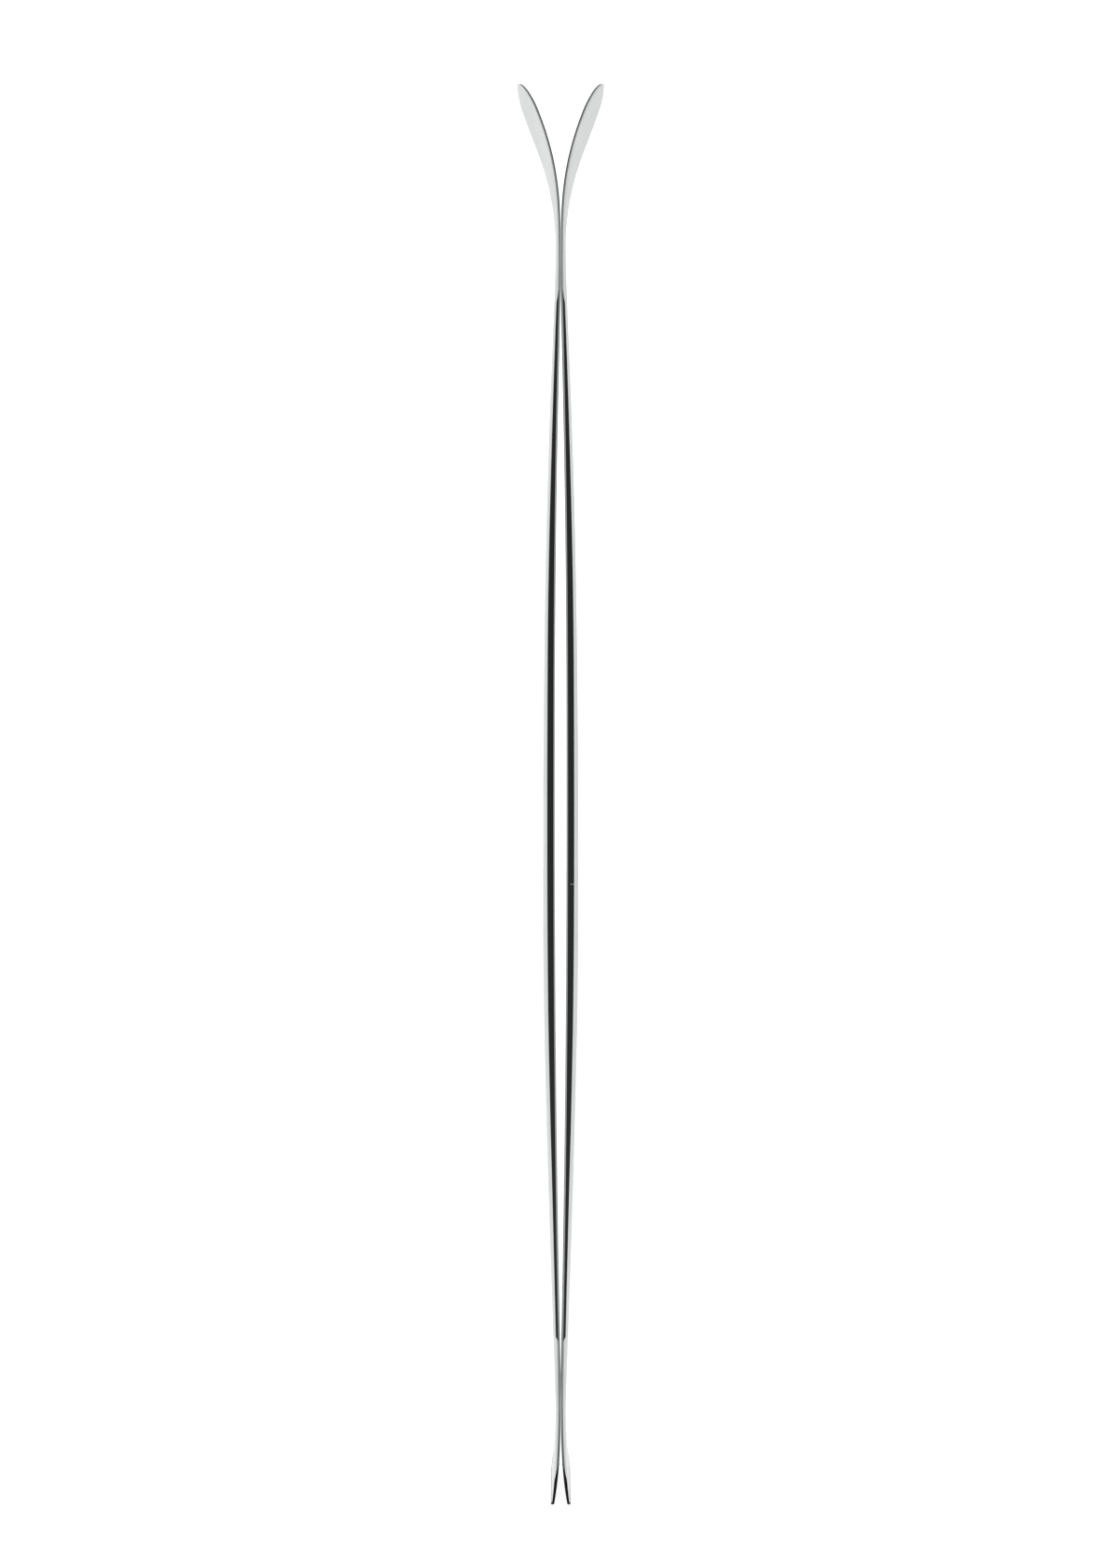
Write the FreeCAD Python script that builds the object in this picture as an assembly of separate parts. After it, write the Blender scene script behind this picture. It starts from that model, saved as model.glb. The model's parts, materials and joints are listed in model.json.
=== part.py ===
"""Pair of cross country skis, standing on their tails and held base to base.

Frame: +Z runs up from the tails to the tips, +X points from the left ski to
the right ski, and Y runs across the width of the skis.  The origin is midway
between the two tail ends.  Units are millimetres.

Each ski is a wood cored sandwich.  From the running face outwards it has the
base, a glass sheet, the core between two side walls, a second glass sheet and
the cap.  The core is glued up from short lengths of wood, and a plastic filler
carries on from it into the tip and the tail.  Every layer follows the same
camber line.  The right ski is drawn, and the left ski is the same ski turned
half a turn about Z.
"""
import FreeCAD
import Part

import math
import os

V = FreeCAD.Vector

# Overall size of one ski.
SKI_LENGTH = 2000.0
TIP_WIDTH = 72.0
WAIST_WIDTH = 61.0
TAIL_WIDTH = 67.0
TIP_WIDEST_Z = 1940.0
TIP_ROUNDNESS = 1.7
WAIST_Z = 880.0
TAIL_WIDEST_Z = 110.0
TAIL_CORNER = 3.0

# The camber line is the running face seen from the side.
HALF_GAP = 0.2
CAMBER = 8.3
CAMBER_PEAK_Z = 957.0
FRONT_CONTACT_Z = 1735.0
REAR_CONTACT_Z = 135.0
FRONT_BOW = (2.8, 1.3)
REAR_BOW = (2.15, 1.1)
TIP_START_Z = 1765.0
TIP_RISE = 59.1
TIP_SHARES = (0.395, 1.161, -0.556)
TAIL_START_Z = 140.0
TAIL_KICK = 9.2
TAIL_POWER = 2.8

# Thickness of the whole ski, as (height up the ski, thickness).
THICKNESS = [
    (0.0, 4.3),
    (60.0, 6.2),
    (140.0, 7.0),
    (232.0, 8.4),
    (388.0, 11.2),
    (543.0, 13.8),
    (698.0, 16.0),
    (880.0, 16.9),
    (1061.0, 15.9),
    (1268.0, 14.3),
    (1475.0, 11.6),
    (1682.0, 7.8),
    (1770.0, 6.9),
    (1850.0, 6.3),
    (1950.0, 5.9),
    (2000.0, 5.7),
]
TIP_EDGE_THICK = 1.2
TIP_EDGE_LENGTH = 20.5

# Height of the side wall, as (height up the ski, side wall height).
WALL_HEIGHT = [
    (232.0, 3.2),
    (336.0, 3.95),
    (440.0, 5.0),
    (543.0, 6.5),
    (698.0, 8.2),
    (880.0, 8.7),
    (1061.0, 8.6),
    (1268.0, 8.0),
    (1475.0, 5.7),
    (1630.0, 3.7),
    (1690.0, 2.7),
]

# Layers.
BASE_THICK = 1.1
GLASS_THICK = 0.5
CORE_BOTTOM = BASE_THICK + GLASS_THICK
FILLER_THICK = 1.5
CAP_THICK = 1.1
CAP_SIDE = 2.4
CAP_LIP = 2.2
BEVEL_MIN = 1.6
BEVEL_SLOPE = 1.3

# Side walls.
WALL_WIDTH = 3.0
WALL_START_Z = 228.0
WALL_END_Z = 1690.0
WALL_START_SLANT = 4.0
WALL_END_SLANT = 8.0
SLANT_RISE = 6.0

# Room under the cap, the wooden core in it, and the plate set into the core.
ROOM_START_Z = 40.0
ROOM_END_Z = 1960.0
CORE_START_Z = 70.0
CORE_END_Z = 1720.0
CORE_LENGTHS = 8
GLUE_LINE = 0.1
INSERT_START_Z = 720.0
INSERT_END_Z = 1030.0
INSERT_WIDTH = 36.0
INSERT_THICK = 2.0
BINDING_FLAT_X = 24.8

# Running face groove.
GROOVE_WIDTH = 3.0
GROOVE_DEPTH = 0.6
GROOVE_START_Z = 150.0
GROOVE_END_Z = 1740.0

# End pieces.
TIP_CAP_LENGTH = 10.0
TAIL_CAP_SLANT = [(46.0, 0.0), (35.0, 3.0), (12.0, 4.2), (1.0, 3.8)]

# Balance mark, a small inlay in one side wall.
BALANCE_Z = 863.7
MARK_HEIGHT = 1.6
MARK_START = 5.4
MARK_LENGTH = 4.6
MARK_DEPTH = 0.4

# How far the drawing solids reach past the ski, at its sides and past a face that they cut.
REACH = 60.0
OVER = 10.0
BELOW = 1.0
CUTTER_MARGIN = 2.0
CUTTER_DEPTH = 15.0

# Spacing of the points that the curves run through.
SIDE_STEP = 60.0
CONTACT_STEP = 16.0
TIP_STEP = 3.0
CONTACT_REACH = (60.0, 80.0)
OUTLINE_STEP = 120.0
TIP_SPANS = 16
ROOM_SPANS = 17
BEVEL_STEP = 46.0
BEVEL_TIP_STEP = 9.0


def between(table, z):
    """Smooth value from a table of stations, with flat runs past the ends."""
    if z <= table[0][0]:
        return table[0][1]
    if z >= table[-1][0]:
        return table[-1][1]
    index = 0
    while table[index + 1][0] < z:
        index += 1
    z0, v0 = table[index]
    z1, v1 = table[index + 1]
    before = table[max(index - 1, 0)]
    after = table[min(index + 2, len(table) - 1)]
    slope0 = (v1 - before[1]) / (z1 - before[0])
    slope1 = (after[1] - v0) / (after[0] - z0)
    span = z1 - z0
    t = (z - z0) / span
    blend0 = 2 * t**3 - 3 * t**2 + 1
    blend1 = t**3 - 2 * t**2 + t
    blend2 = 3 * t**2 - 2 * t**3
    blend3 = t**3 - t**2
    return blend0 * v0 + blend1 * span * slope0 + blend2 * v1 + blend3 * span * slope1


def camber_line(z):
    """Distance of the running face from the plane between the two skis."""
    height = HALF_GAP
    if REAR_CONTACT_Z < z < FRONT_CONTACT_Z:
        if z > CAMBER_PEAK_Z:
            u = (z - CAMBER_PEAK_Z) / (FRONT_CONTACT_Z - CAMBER_PEAK_Z)
            inner, outer = FRONT_BOW
        else:
            u = (CAMBER_PEAK_Z - z) / (CAMBER_PEAK_Z - REAR_CONTACT_Z)
            inner, outer = REAR_BOW
        height += CAMBER * (1 - u**inner) ** outer
    if z > TIP_START_Z:
        u = (z - TIP_START_Z) / (SKI_LENGTH - TIP_START_Z)
        height += TIP_RISE * sum(share * u ** (i + 2) for i, share in enumerate(TIP_SHARES))
    if z < TAIL_START_Z:
        u = (TAIL_START_Z - z) / TAIL_START_Z
        height += TAIL_KICK * u**TAIL_POWER
    return height


def level(z, depth):
    """X of a layer that lies a given depth above the running face."""
    slope = camber_line(z + 0.5) - camber_line(z - 0.5)
    return camber_line(z) + depth * math.sqrt(1 + slope**2)


def half_width(z):
    """Half the width of the ski, with the rounded tip and tail corners."""
    if z >= WAIST_Z:
        u = min((z - WAIST_Z) / (TIP_WIDEST_Z - WAIST_Z), 1.0)
        full = TIP_WIDTH
    else:
        u = min((WAIST_Z - z) / (WAIST_Z - TAIL_WIDEST_Z), 1.0)
        full = TAIL_WIDTH
    width = WAIST_WIDTH + (full - WAIST_WIDTH) * (1 - math.cos(math.pi * u)) / 2
    half = width / 2
    if z > TIP_WIDEST_Z:
        u = min((z - TIP_WIDEST_Z) / (SKI_LENGTH - TIP_WIDEST_Z), 1.0)
        half *= (1 - u**TIP_ROUNDNESS) ** (1 / TIP_ROUNDNESS)
    return half


def total(z):
    """Depth from the running face to the top of the cap, which rolls down at the very tip."""
    depth = between(THICKNESS, z)
    left = min(max((SKI_LENGTH - z) / TIP_EDGE_LENGTH, 0.0), 1.0)
    return TIP_EDGE_THICK + (depth - TIP_EDGE_THICK) * math.sqrt(1 - (1 - left) ** 2)


def wall_top(z):
    """Depth from the running face to the top of the side wall."""
    return CORE_BOTTOM + between(WALL_HEIGHT, z)


def stations():
    """Heights at which a side curve is drawn, closer together near the ends."""
    result = [-OVER]
    while result[-1] < SKI_LENGTH + OVER:
        z = result[-1]
        close = z < REAR_CONTACT_Z + CONTACT_REACH[0] or z > FRONT_CONTACT_Z - CONTACT_REACH[1]
        at_tip = z > SKI_LENGTH - 1.5 * TIP_EDGE_LENGTH
        result.append(z + (TIP_STEP if at_tip else CONTACT_STEP if close else SIDE_STEP))
    return result


def side_curve(depth):
    """Smooth curve along the ski at a depth that may change with height."""
    points = [V(level(z, depth(z)), -REACH, z) for z in stations()]
    curve = Part.BSplineCurve()
    curve.interpolate(points)
    return curve.toShape()


def slab(low, high, start=None, end=None):
    """Solid between two depths, wider than the ski, from one height to another.

    The curves always run the whole length, so that neighbouring layers share
    the same face, and the shorter slabs are cut from the long one.
    """
    bottom = side_curve(low)
    top = side_curve(high)
    first = Part.makeLine(bottom.valueAt(bottom.FirstParameter), top.valueAt(top.FirstParameter))
    last = Part.makeLine(bottom.valueAt(bottom.LastParameter), top.valueAt(top.LastParameter))
    face = Part.Face(Part.Wire([bottom, last, top, first]))
    solid = face.extrude(V(0, 2 * REACH, 0))
    if start is None:
        return solid
    return solid.common(Part.makeBox(4 * REACH, 2 * REACH, end - start, V(-2 * OVER, -REACH, start)))


def steady(depth):
    """A depth that is the same all along the ski."""
    return lambda z: depth


def tip_point(angle):
    """Point on the rounded outline of the tip, from one side (0) to the other (pi)."""
    across = abs(math.cos(angle)) ** (2 / TIP_ROUNDNESS)
    along = math.sin(angle) ** (2 / TIP_ROUNDNESS) if 0 < angle < math.pi else 0.0
    return V(0, math.copysign(across, math.cos(angle)) * TIP_WIDTH / 2,
             TIP_WIDEST_Z + along * (SKI_LENGTH - TIP_WIDEST_Z))


def outline_prism():
    """The outline of the ski seen from its base, as a solid through every layer."""
    upper = []
    z = TAIL_CORNER
    while z < TIP_WIDEST_Z:
        upper.append(V(0, half_width(z), z))
        z += OUTLINE_STEP
    upper.append(V(0, half_width(TIP_WIDEST_Z), TIP_WIDEST_Z))
    edge = Part.BSplineCurve()
    edge.interpolate(upper)
    right = edge.toShape()
    left = right.mirror(V(0, 0, 0), V(0, 1, 0))
    round_tip = Part.BSplineCurve()
    round_tip.interpolate([tip_point(math.pi * i / TIP_SPANS) for i in range(TIP_SPANS + 1)])
    arc = round_tip.toShape()
    half = upper[0].y
    lean = TAIL_CORNER * (1 - math.sqrt(0.5))
    corner_a = Part.Arc(V(0, half, TAIL_CORNER), V(0, half - lean, lean), V(0, half - TAIL_CORNER, 0))
    corner_b = Part.Arc(V(0, -half, TAIL_CORNER), V(0, lean - half, lean), V(0, TAIL_CORNER - half, 0))
    end = Part.makeLine(V(0, half - TAIL_CORNER, 0), V(0, TAIL_CORNER - half, 0))
    edges = [right, arc, left, corner_b.toShape(), end, corner_a.toShape()]
    wire = Part.Wire(Part.__sortEdges__(edges))
    face = Part.Face(wire)
    face.translate(V(-OVER, 0, 0))
    return face.extrude(V(2 * REACH, 0, 0))


def bevel_cutter(side, inset):
    """Wedge that slopes the cap from its lip to its top along one edge."""
    sections = []
    z = -OVER
    while z <= SKI_LENGTH - TIP_CAP_LENGTH / 2:
        drop = min(max(total(z) - wall_top(z) - CAP_LIP, BEVEL_MIN), total(z) / 2)
        top = level(z, total(z) - inset)
        edge = half_width(max(z, 0.0)) - inset
        inner = edge - BEVEL_SLOPE * drop
        run = CUTTER_MARGIN / (BEVEL_SLOPE * drop)
        low = V(top - drop * (1 + run), side * (edge + CUTTER_MARGIN), z)
        high = V(top + drop * run, side * (inner - CUTTER_MARGIN), z)
        corner = V(top + CUTTER_DEPTH, side * (edge + CUTTER_DEPTH), z)
        sections.append(Part.makePolygon([low, high, corner, low]))
        z += BEVEL_TIP_STEP if z > TIP_WIDEST_Z - OVER else BEVEL_STEP
    return Part.makeLoft(sections, True, False)


def room_outline():
    """Plan of the room under the cap, inside the cap's own side walls, as a prism."""
    heights = [ROOM_START_Z + i * (TIP_WIDEST_Z - ROOM_START_Z) / ROOM_SPANS
               for i in range(ROOM_SPANS + 1)]
    heights += [(TIP_WIDEST_Z + ROOM_END_Z) / 2, ROOM_END_Z]
    width = [V(0, half_width(z) - CAP_SIDE, z) for z in heights]
    edge = Part.BSplineCurve()
    edge.interpolate(width)
    right = edge.toShape()
    left = right.mirror(V(0, 0, 0), V(0, 1, 0))
    low_end = Part.makeLine(V(0, width[0].y, ROOM_START_Z), V(0, -width[0].y, ROOM_START_Z))
    high_end = Part.makeLine(V(0, width[-1].y, ROOM_END_Z), V(0, -width[-1].y, ROOM_END_Z))
    face = Part.Face(Part.Wire(Part.__sortEdges__([right, high_end, left, low_end])))
    face.translate(V(-OVER, 0, 0))
    return face.extrude(V(2 * REACH, 0, 0))


def room_under(skin):
    """Room inside the cap, less a skin of the given thickness under its top."""
    high = slab(steady(CORE_BOTTOM), lambda z: total(z) - skin, ROOM_START_Z, ROOM_END_Z)
    room = high.common(room_outline())
    for side in (-1, 1):
        room = room.cut(bevel_cutter(side, skin))
    flat = Part.makeBox(REACH, 2 * REACH, SKI_LENGTH, V(BINDING_FLAT_X - skin, -REACH, 0))
    return room.cut(beyond_flat(flat))


def beyond_flat(box):
    """The part of a box over the boot, where the top of the ski is a true plane."""
    window = Part.makeBox(4 * REACH, 4 * REACH, INSERT_END_Z - INSERT_START_Z,
                          V(-REACH, -2 * REACH, INSERT_START_Z))
    return box.common(window)


def stretch_of_ski(start, end):
    """Everything between two heights."""
    return Part.makeBox(4 * REACH, 2 * REACH, end - start, V(-OVER, -REACH, start))


def core_lengths(core):
    """The core as short lengths of wood, with a thin glue line between them."""
    step = (CORE_END_Z - CORE_START_Z) / CORE_LENGTHS
    pieces = []
    for i in range(CORE_LENGTHS):
        start = CORE_START_Z + i * step
        pieces.append(core.common(stretch_of_ski(start + GLUE_LINE / 2, start + step - GLUE_LINE / 2)))
    return Part.Compound([solid for piece in pieces for solid in piece.Solids])


def slanting_end(z, way, slant):
    """Prism that cuts the end of a side wall to a slant, starting at its foot."""
    foot = level(z, CORE_BOTTOM)
    outside = z + way
    wire = Part.makePolygon([
        V(foot - BELOW, -REACH, outside),
        V(foot + SLANT_RISE, -REACH, outside),
        V(foot + SLANT_RISE, -REACH, z - 2 * way * slant),
        V(foot - BELOW, -REACH, outside),
    ])
    return Part.Face(wire).extrude(V(0, 2 * REACH, 0))


def wall_block(side):
    """One side wall before it is fitted to the ski, with slanting ends."""
    body = slab(steady(CORE_BOTTOM), wall_top, WALL_START_Z, WALL_END_Z)
    body = body.cut(slanting_end(WALL_START_Z, -1, WALL_START_SLANT))
    body = body.cut(slanting_end(WALL_END_Z, 1, WALL_END_SLANT))
    return body.common(wall_side_prism(side))


def wall_side_prism(side):
    """Strip of the ski's width that one side wall takes up."""
    points = []
    z = WALL_START_Z - OVER
    while z < WALL_END_Z + OVER:
        points.append(V(-OVER, side * (half_width(z) - WALL_WIDTH), z))
        z += OUTLINE_STEP
    points.append(V(-OVER, side * (half_width(WALL_END_Z + OVER) - WALL_WIDTH), WALL_END_Z + OVER))
    inner = Part.BSplineCurve()
    inner.interpolate(points)
    far = side * REACH
    bottom = Part.makeLine(points[0], V(-OVER, far, points[0].z))
    outside = Part.makeLine(V(-OVER, far, points[0].z), V(-OVER, far, points[-1].z))
    top = Part.makeLine(V(-OVER, far, points[-1].z), points[-1])
    face = Part.Face(Part.Wire(Part.__sortEdges__([inner.toShape(), bottom, outside, top])))
    return face.extrude(V(2 * REACH, 0, 0))


def tail_cap_block():
    """Wedge at the tail: long under the base, then close under the skin of the cap."""
    slant = [V(level(z, depth), -REACH, z) for z, depth in TAIL_CAP_SLANT]
    base = slant[0]
    tip = slant[-1]
    outside = [V(REACH, -REACH, tip.z), V(REACH, -REACH, -OVER), V(-OVER, -REACH, -OVER),
               V(-OVER, -REACH, base.z)]
    wire = Part.makePolygon([*slant, *outside, base])
    return Part.Face(wire).extrude(V(0, 2 * REACH, 0))


def tip_cap_block():
    """Everything past the line where the tip protector starts."""
    start = SKI_LENGTH - TIP_CAP_LENGTH
    return Part.makeBox(4 * REACH, 2 * REACH, 2 * OVER, V(-OVER, -REACH, start))


def groove_block():
    """Straight groove along the middle of the running face."""
    cut = slab(steady(-BELOW), steady(GROOVE_DEPTH), GROOVE_START_Z, GROOVE_END_Z)
    strip = Part.makeBox(REACH, GROOVE_WIDTH, SKI_LENGTH, V(-OVER, -GROOVE_WIDTH / 2, 0))
    return cut.common(strip)


def insert_block():
    """Screw holding plate, set flush into the top of the core."""
    start = INSERT_START_Z
    height = INSERT_END_Z - start
    skin = CAP_THICK + GLASS_THICK
    strip = Part.makeBox(2 * REACH, INSERT_WIDTH, height, V(-OVER, -INSERT_WIDTH / 2, start))
    plate = slab(lambda z: total(z) - skin - INSERT_THICK, lambda z: total(z) - skin)
    return plate.common(strip)


def mark_block():
    """Small inlay in the side wall that shows where the ski balances."""
    edge = half_width(BALANCE_Z)
    base = level(BALANCE_Z, 0.0)
    return Part.makeBox(MARK_LENGTH, MARK_DEPTH + OVER, MARK_HEIGHT,
                        V(base + MARK_START, -edge - OVER, BALANCE_Z - MARK_HEIGHT / 2))


def right_ski():
    """All the pieces of the right ski, by name."""
    whole = slab(steady(0.0), total).common(outline_prism())
    for side in (-1, 1):
        whole = whole.cut(bevel_cutter(side, 0.0))
    flat = Part.makeBox(REACH, 2 * REACH, SKI_LENGTH, V(BINDING_FLAT_X, -REACH, 0))
    whole = whole.cut(beyond_flat(flat))

    tip_cap = whole.common(tip_cap_block())
    tail_cap = whole.common(tail_cap_block())
    body = whole.cut(tip_cap_block()).cut(tail_cap_block())

    sole_space = slab(steady(-BELOW), steady(BASE_THICK))
    glass_space = slab(steady(BASE_THICK), steady(CORE_BOTTOM))
    sole = body.common(sole_space).cut(groove_block())
    lower_glass = body.common(glass_space)
    upper = body.cut(slab(steady(-BELOW), steady(CORE_BOTTOM)))

    near_wall = upper.common(wall_block(-1))
    far_wall = upper.common(wall_block(1))
    upper = upper.cut(near_wall).cut(far_wall)

    room = room_under(CAP_THICK)
    core_room = room_under(CAP_THICK + GLASS_THICK)
    spacer_top = CORE_BOTTOM + FILLER_THICK
    strip = slab(steady(CORE_BOTTOM), steady(spacer_top))
    tail_strip = upper.common(strip).common(stretch_of_ski(-OVER, WALL_START_Z + OVER))
    tip_strip = upper.common(strip).common(stretch_of_ski(WALL_END_Z, SKI_LENGTH))
    cap = upper.cut(tail_strip).cut(tip_strip).cut(room)
    inside = upper.common(room)
    upper_glass = inside.cut(core_room).cut(tail_strip).cut(tip_strip)

    core = inside.common(core_room).cut(tail_strip).cut(tip_strip)
    tail_block = core.common(stretch_of_ski(ROOM_START_Z, CORE_START_Z))
    tip_block = core.common(stretch_of_ski(CORE_END_Z, ROOM_END_Z))
    tail_filler = tail_strip.fuse(tail_block).removeSplitter()
    tip_filler = tip_strip.fuse(tip_block).removeSplitter()
    insert = core.common(insert_block())
    core = core_lengths(core.cut(insert))

    mark = near_wall.common(mark_block()).cut(
        near_wall.common(Part.makeBox(REACH, 2 * REACH, SKI_LENGTH,
                                      V(-OVER, MARK_DEPTH - half_width(BALANCE_Z), 0))))
    near_wall = near_wall.cut(mark)

    return {
        "base_sole": sole,
        "lower_laminate": lower_glass,
        "wood_core": core,
        "marked_sidewall": near_wall,
        "plain_sidewall": far_wall,
        "tip_filler": tip_filler,
        "tail_filler": tail_filler,
        "binding_insert": insert,
        "upper_laminate": upper_glass,
        "topsheet_cap": cap,
        "tip_protector": tip_cap,
        "tail_protector": tail_cap,
        "balance_mark": mark,
    }


def build():
    """Write every piece of both skis as its own STEP file."""
    os.makedirs("parts", exist_ok=True)
    for name, shape in right_ski().items():
        shape.exportStep("parts/right_" + name + ".step")
        other = shape.copy()
        other.rotate(V(0, 0, 0), V(0, 0, 1), 180)
        other.exportStep("parts/left_" + name + ".step")
        print(name, len(shape.Solids), shape.isValid(), round(shape.Volume / 1000, 2), "cm3",
              [round(v, 1) for v in (shape.BoundBox.XMin, shape.BoundBox.XMax, shape.BoundBox.YMin,
                                     shape.BoundBox.YMax, shape.BoundBox.ZMin, shape.BoundBox.ZMax)])


build()
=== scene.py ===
# %% [markdown]
# # A pair of cross country skis, standing base to base
#
# Two touring skis stand on their tails with their running bases together.
# The bases touch in two places, below the tips and above the tails, and the
# camber of each ski leaves a long slim gap between them.  Each ski is a
# sandwich: base, glass sheet, core between black side walls, and a white cap.
#
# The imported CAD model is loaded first.  It is the frame for everything: the
# pieces made here follow its sizes and ride on its two bodies.

import json
import math

import bmesh
import bpy
import numpy as np
from mathutils import Matrix, Vector

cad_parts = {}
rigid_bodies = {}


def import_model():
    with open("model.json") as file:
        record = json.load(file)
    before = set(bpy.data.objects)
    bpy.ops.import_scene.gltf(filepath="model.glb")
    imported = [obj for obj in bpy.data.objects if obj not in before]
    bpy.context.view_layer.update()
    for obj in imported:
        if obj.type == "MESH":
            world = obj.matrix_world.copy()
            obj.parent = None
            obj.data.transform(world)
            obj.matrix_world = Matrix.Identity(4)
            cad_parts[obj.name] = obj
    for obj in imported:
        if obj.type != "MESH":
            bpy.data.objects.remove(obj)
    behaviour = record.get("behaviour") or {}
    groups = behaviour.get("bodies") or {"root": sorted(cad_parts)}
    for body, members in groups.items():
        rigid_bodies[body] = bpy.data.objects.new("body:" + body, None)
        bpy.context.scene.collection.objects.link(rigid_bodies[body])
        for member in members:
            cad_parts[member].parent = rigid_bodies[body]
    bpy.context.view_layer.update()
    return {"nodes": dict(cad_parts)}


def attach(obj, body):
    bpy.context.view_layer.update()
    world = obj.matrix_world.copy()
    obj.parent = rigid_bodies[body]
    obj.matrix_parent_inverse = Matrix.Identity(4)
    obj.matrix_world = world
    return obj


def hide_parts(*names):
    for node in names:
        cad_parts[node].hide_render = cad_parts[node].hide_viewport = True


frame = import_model()
scene = bpy.context.scene

# %% [markdown]
# ## The rules of the ski's shape
#
# A ski is drawn with a few long curves.  The camber line is the running face
# seen from the side.  The outline is the same face seen from below.  The
# thickness says how far the top of the cap stands off the running face, and
# the side wall table says how much of that is black wall.  Every layer is
# then placed by its depth above the running face.  Keeping these rules as
# small functions means that each layer can be swept with the same numbers,
# and neighbouring layers meet exactly.

# %% The long curves, in millimetres
SKI_LENGTH = 2000.0
TIP_WIDTH, WAIST_WIDTH, TAIL_WIDTH = 72.0, 61.0, 67.0
TIP_WIDEST_Z, WAIST_Z, TAIL_WIDEST_Z = 1940.0, 880.0, 110.0
TIP_ROUNDNESS, TAIL_CORNER = 1.7, 3.0
HALF_GAP, CAMBER, CAMBER_PEAK_Z = 0.2, 8.3, 957.0
FRONT_CONTACT_Z, REAR_CONTACT_Z = 1735.0, 135.0
FRONT_BOW, REAR_BOW = (2.8, 1.3), (2.15, 1.1)
TIP_START_Z, TIP_RISE, TIP_SHARES = 1765.0, 59.1, (0.395, 1.161, -0.556)
TAIL_START_Z, TAIL_KICK, TAIL_POWER = 140.0, 9.2, 2.8
BINDING_FLAT_X, BINDING_FLAT_Z = 24.8, (720.0, 1030.0)

THICKNESS = [(0.0, 4.3), (60.0, 6.2), (140.0, 7.0), (232.0, 8.4), (388.0, 11.2), (543.0, 13.8),
             (698.0, 16.0), (880.0, 16.9), (1061.0, 15.9), (1268.0, 14.3), (1475.0, 11.6),
             (1682.0, 7.8), (1770.0, 6.9), (1850.0, 6.3), (1950.0, 5.9), (2000.0, 5.7)]
TIP_EDGE_THICK, TIP_EDGE_LENGTH = 1.2, 20.5
WALL_HEIGHT = [(232.0, 3.2), (336.0, 3.95), (440.0, 5.0), (543.0, 6.5), (698.0, 8.2),
               (880.0, 8.7), (1061.0, 8.6), (1268.0, 8.0), (1475.0, 5.7), (1630.0, 3.7),
               (1690.0, 2.7)]


def between(table, z):
    """Smooth value from a table of stations, with flat runs past the ends."""
    if z <= table[0][0]:
        return table[0][1]
    if z >= table[-1][0]:
        return table[-1][1]
    index = max(i for i, row in enumerate(table) if row[0] < z)
    z0, v0 = table[index]
    z1, v1 = table[index + 1]
    before = table[max(index - 1, 0)]
    after = table[min(index + 2, len(table) - 1)]
    slope0 = (v1 - before[1]) / (z1 - before[0])
    slope1 = (after[1] - v0) / (after[0] - z0)
    span = z1 - z0
    t = (z - z0) / span
    return ((2 * t**3 - 3 * t**2 + 1) * v0 + (t**3 - 2 * t**2 + t) * span * slope0
            + (3 * t**2 - 2 * t**3) * v1 + (t**3 - t**2) * span * slope1)


def camber_line(z):
    """Distance of the running face from the plane between the two skis."""
    height = HALF_GAP
    if REAR_CONTACT_Z < z < FRONT_CONTACT_Z:
        end = FRONT_CONTACT_Z if z > CAMBER_PEAK_Z else REAR_CONTACT_Z
        inner, outer = FRONT_BOW if z > CAMBER_PEAK_Z else REAR_BOW
        u = (z - CAMBER_PEAK_Z) / (end - CAMBER_PEAK_Z)
        height += CAMBER * (1 - u**inner) ** outer
    if z > TIP_START_Z:
        u = (z - TIP_START_Z) / (SKI_LENGTH - TIP_START_Z)
        height += TIP_RISE * sum(share * u ** (i + 2) for i, share in enumerate(TIP_SHARES))
    if z < TAIL_START_Z:
        height += TAIL_KICK * ((TAIL_START_Z - z) / TAIL_START_Z) ** TAIL_POWER
    return height


def stretch(z):
    """How much longer a depth is when measured along X instead of square to the layer."""
    slope = camber_line(z + 0.5) - camber_line(z - 0.5)
    return math.sqrt(1 + slope**2)


def half_width(z):
    """Half the width of the ski, with the rounded tip and tail corners."""
    ahead = z >= WAIST_Z
    reach = TIP_WIDEST_Z - WAIST_Z if ahead else WAIST_Z - TAIL_WIDEST_Z
    full = TIP_WIDTH if ahead else TAIL_WIDTH
    u = min(abs(z - WAIST_Z) / reach, 1.0)
    half = (WAIST_WIDTH + (full - WAIST_WIDTH) * (1 - math.cos(math.pi * u)) / 2) / 2
    if z > TIP_WIDEST_Z:
        u = min((z - TIP_WIDEST_Z) / (SKI_LENGTH - TIP_WIDEST_Z), 1.0)
        half *= (1 - u**TIP_ROUNDNESS) ** (1 / TIP_ROUNDNESS)
    if z < TAIL_CORNER:
        half += math.sqrt(TAIL_CORNER**2 - (TAIL_CORNER - z) ** 2) - TAIL_CORNER
    return half


def total(z):
    """Depth of the top of the cap, which is a true plane under a binding and rolls down at the tip."""
    depth = between(THICKNESS, z)
    left = min(max((SKI_LENGTH - z) / TIP_EDGE_LENGTH, 0.0), 1.0)
    depth = TIP_EDGE_THICK + (depth - TIP_EDGE_THICK) * math.sqrt(1 - (1 - left) ** 2)
    if BINDING_FLAT_Z[0] < z < BINDING_FLAT_Z[1]:
        depth = min(depth, (BINDING_FLAT_X - camber_line(z)) / stretch(z))
    return depth


print("thickest:", round(max(total(z) for z in range(0, 2001, 10)), 1), "mm, waist",
      round(2 * half_width(WAIST_Z), 1), "mm, camber", round(camber_line(CAMBER_PEAK_Z), 1), "mm")

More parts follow.
